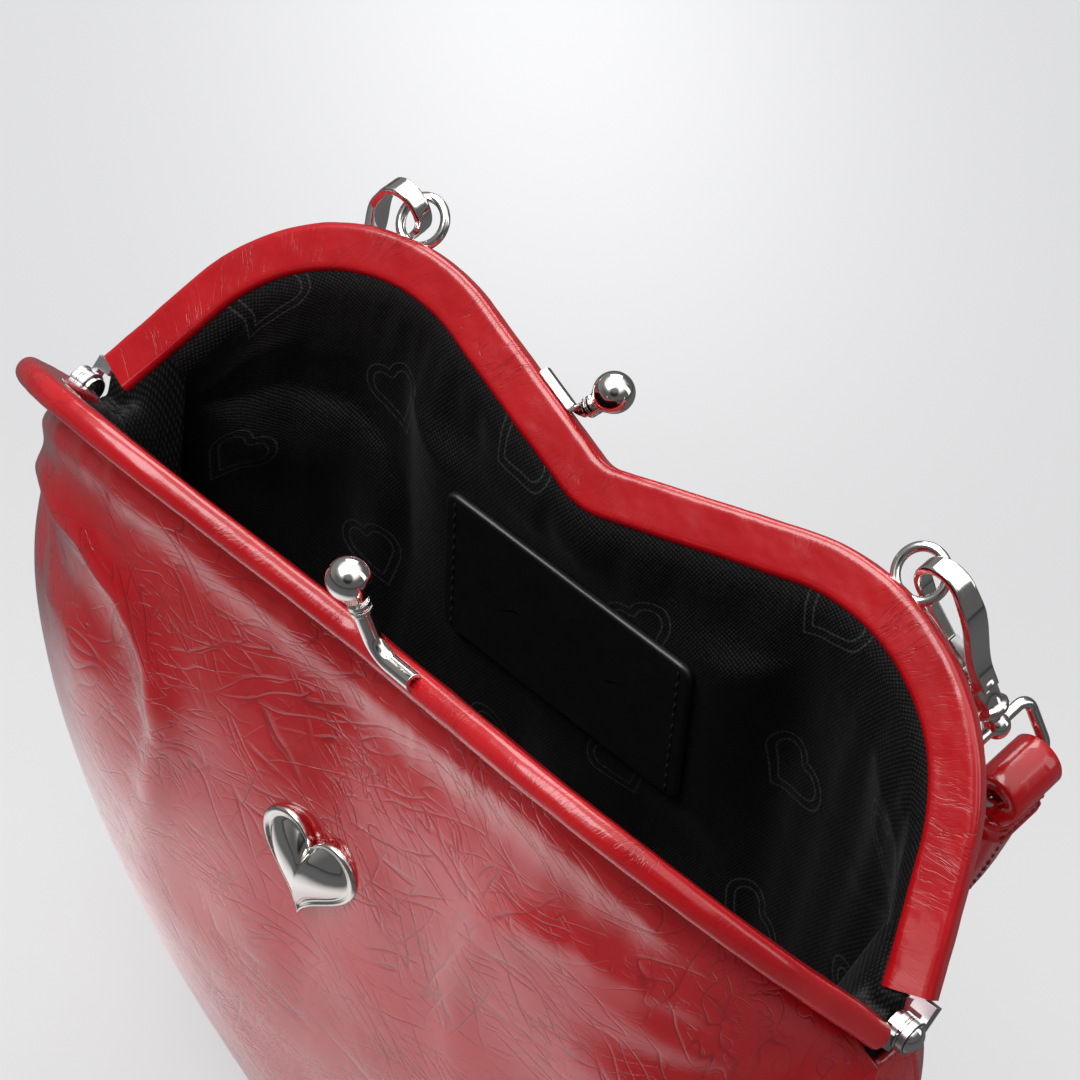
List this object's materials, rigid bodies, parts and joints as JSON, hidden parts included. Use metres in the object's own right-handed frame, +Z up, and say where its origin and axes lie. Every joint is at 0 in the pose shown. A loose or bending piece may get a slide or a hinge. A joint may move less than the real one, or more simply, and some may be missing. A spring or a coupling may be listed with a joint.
{
  "type": "heart shaped purse",
  "caption": "Heart shaped leather purse shown open: hinged frames with a kiss-lock clasp, lined pouch with side gussets, and a wrist strap clipped to rings with swivel snap hooks.",
  "frame": {"origin": "midway between the two hinges, on the hinge line", "axes": "+X along the hinge line to the purse's right, -Y towards its front, +Z up out of its mouth"},
  "size_m": [0.1942, 0.106, 0.1676],
  "materials": {
    "red_leather": "glossy creased patent",
    "black_lining": "satin weave",
    "black_leather": "smooth satin",
    "bright_metal": "polished",
    "steel": "plain"
  },
  "bodies": {
    "bag": {"front_panel": "red_leather", "back_panel": "red_leather", "left_gusset": "red_leather", "right_gusset": "red_leather", "front_lining": "black_lining", "back_lining": "black_lining", "left_gusset_lining": "black_lining", "right_gusset_lining": "black_lining", "label_patch": "black_leather", "badge": "bright_metal", "badge_plates": "steel"},
    "back_frame": {"back_frame_core": "steel", "back_frame_cover": "red_leather", "back_clasp_arm": "bright_metal", "back_clasp_ball": "bright_metal", "left_ring": "bright_metal", "right_ring": "bright_metal", "left_hinge_rivet": "bright_metal", "right_hinge_rivet": "bright_metal", "hinge_washers": "bright_metal"},
    "front_frame": {"front_frame_core": "steel", "front_frame_cover": "red_leather", "front_clasp_arm": "bright_metal", "front_clasp_ball": "bright_metal"},
    "strap": {"strap": "red_leather", "left_strap_keeper": "red_leather", "right_strap_keeper": "red_leather", "left_swivel_eye": "bright_metal", "right_swivel_eye": "bright_metal"},
    "right_hook": {"right_hook": "bright_metal", "right_gate_pin": "bright_metal", "right_gate_spring": "steel"},
    "left_hook": {"left_hook": "bright_metal", "left_gate_pin": "bright_metal", "left_gate_spring": "steel"},
    "right_gate": {"right_gate": "bright_metal"},
    "left_gate": {"left_gate": "bright_metal"}
  },
  "joints": [
    {"name": "back_hinge", "type": "hinge", "parent": "bag", "child": "back_frame", "pos_m": [0, 0, 0], "axis": [1, 0, 0], "range_deg": [-10, 40], "deforming": ["back_panel", "back_lining", "front_panel", "front_lining", "left_gusset", "right_gusset", "left_gusset_lining", "right_gusset_lining"]},
    {"name": "front_hinge", "type": "hinge", "parent": "bag", "child": "front_frame", "pos_m": [0, 0, 0], "axis": [1, 0, 0], "range_deg": [-40, 10], "deforming": ["back_panel", "back_lining", "front_panel", "front_lining", "left_gusset", "right_gusset", "left_gusset_lining", "right_gusset_lining"]},
    {"name": "strap_swing", "type": "hinge", "parent": "back_frame", "child": "strap", "pos_m": [0, 0.03913, 0.04274], "axis": [1, 0, 0], "range_deg": [0, 60]},
    {"name": "right_hook_swivel", "type": "hinge", "parent": "strap", "child": "right_hook", "pos_m": [0.05902, 0.03916, 0.04257], "axis": [0.515, 0.1488, -0.8441], "range_deg": [-6, 6]},
    {"name": "right_gate_hinge", "type": "hinge", "parent": "right_hook", "child": "right_gate", "pos_m": [0.06538, 0.04174, 0.02795], "axis": [0, 0.9848, 0.1736], "range_deg": [0, 20], "stiffness_Nm_per_rad": 0.005, "springref_deg": -28.65, "deforming": ["right_gate_spring"]},
    {"name": "left_hook_swivel", "type": "hinge", "parent": "strap", "child": "left_hook", "pos_m": [-0.05902, 0.03916, 0.04257], "axis": [-0.515, 0.1488, -0.8441], "range_deg": [-6, 6]},
    {"name": "left_gate_hinge", "type": "hinge", "parent": "left_hook", "child": "left_gate", "pos_m": [-0.06538, 0.04174, 0.02795], "axis": [0, -0.9848, -0.1736], "range_deg": [0, 20], "stiffness_Nm_per_rad": 0.005, "springref_deg": -28.65, "deforming": ["left_gate_spring"]}
  ],
  "couplings": [
    {"joint": "front_hinge", "follows": "back_hinge", "ratio": -1}
  ]
}
